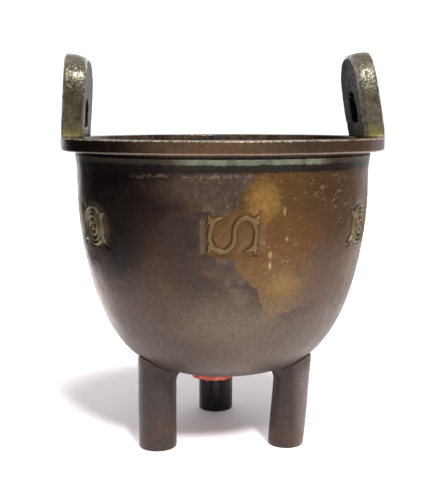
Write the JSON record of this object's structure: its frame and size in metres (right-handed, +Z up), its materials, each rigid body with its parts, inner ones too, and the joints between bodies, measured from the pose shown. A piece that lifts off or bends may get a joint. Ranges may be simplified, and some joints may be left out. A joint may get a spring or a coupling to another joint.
{
  "type": "bronze ding vessel",
  "caption": "Round cast bronze ding: deep open bowl on plain round legs, with upright arched rim handles and a band of raised S and whorl motifs.",
  "frame": {"origin": "on the floor below the centre of the rim", "axes": "+Z up, +X towards the right handle, -Y towards the front S motif"},
  "size_m": [0.13, 0.13, 0.1588],
  "materials": {
    "bronze": "dark brown patinated cast bronze, satin",
    "wax": "orange-red sealing wax"
  },
  "bodies": {
    "root": {"vessel": "bronze", "wax_seal": "wax"}
  },
  "joints": []
}
